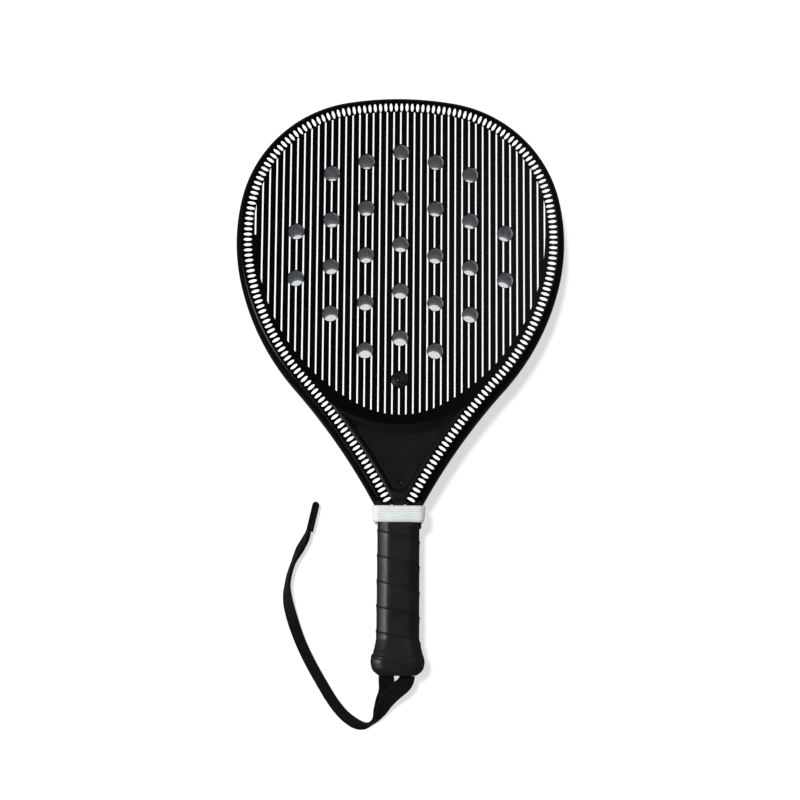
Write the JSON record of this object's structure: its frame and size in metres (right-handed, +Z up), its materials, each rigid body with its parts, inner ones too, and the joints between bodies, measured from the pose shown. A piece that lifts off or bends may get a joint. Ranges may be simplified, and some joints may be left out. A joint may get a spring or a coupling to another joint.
{
  "type": "padel racket",
  "caption": "Teardrop padel racket with drilled pinstriped faces, a recessed throat, a wound grip with a ribbed collar, and a webbing wrist strap.",
  "frame": {"origin": "under the middle of the racket's box, on the surface it lies on", "axes": "+Y from the butt to the head's tip, +Z up out of the front face, +X to the right seen from the front"},
  "size_m": [0.2596, 0.4982, 0.038],
  "materials": {
    "frame_lacquer": "satin black lacquer over a woven composite",
    "face_lacquer": "satin black lacquer with printed pinstripes",
    "throat_lacquer": "matt black moulded composite",
    "core_foam": "dark grey closed cell foam",
    "stud_gloss": "glossy black",
    "handle_composite": "bare composite",
    "cushion_foam": "soft cushioning foam",
    "grip_leather": "dark brown black wound grip with a satin sheen",
    "tape_fabric": "adhesive cloth tape",
    "collar_rubber": "white ribbed rubber",
    "cap_plastic": "moulded black plastic",
    "strap_webbing": "black woven webbing"
  },
  "bodies": {
    "root": {"frame_tube": "frame_lacquer", "throat_bridge": "core_foam", "head_core": "core_foam", "front_face_skin": "face_lacquer", "back_face_skin": "face_lacquer", "throat_core": "core_foam", "throat_front_panel": "throat_lacquer", "throat_back_panel": "throat_lacquer", "face_stud": "stud_gloss", "handle_shaft": "handle_composite", "handle_core": "core_foam", "cushion_grip": "cushion_foam", "grip_wrap": "grip_leather", "finishing_tape": "tape_fabric", "grip_collar": "collar_rubber", "butt_cap": "cap_plastic", "strap_inner_run": "strap_webbing", "strap_left_leg": "strap_webbing", "strap_right_leg": "strap_webbing", "strap_loop_end": "strap_webbing"}
  },
  "joints": []
}
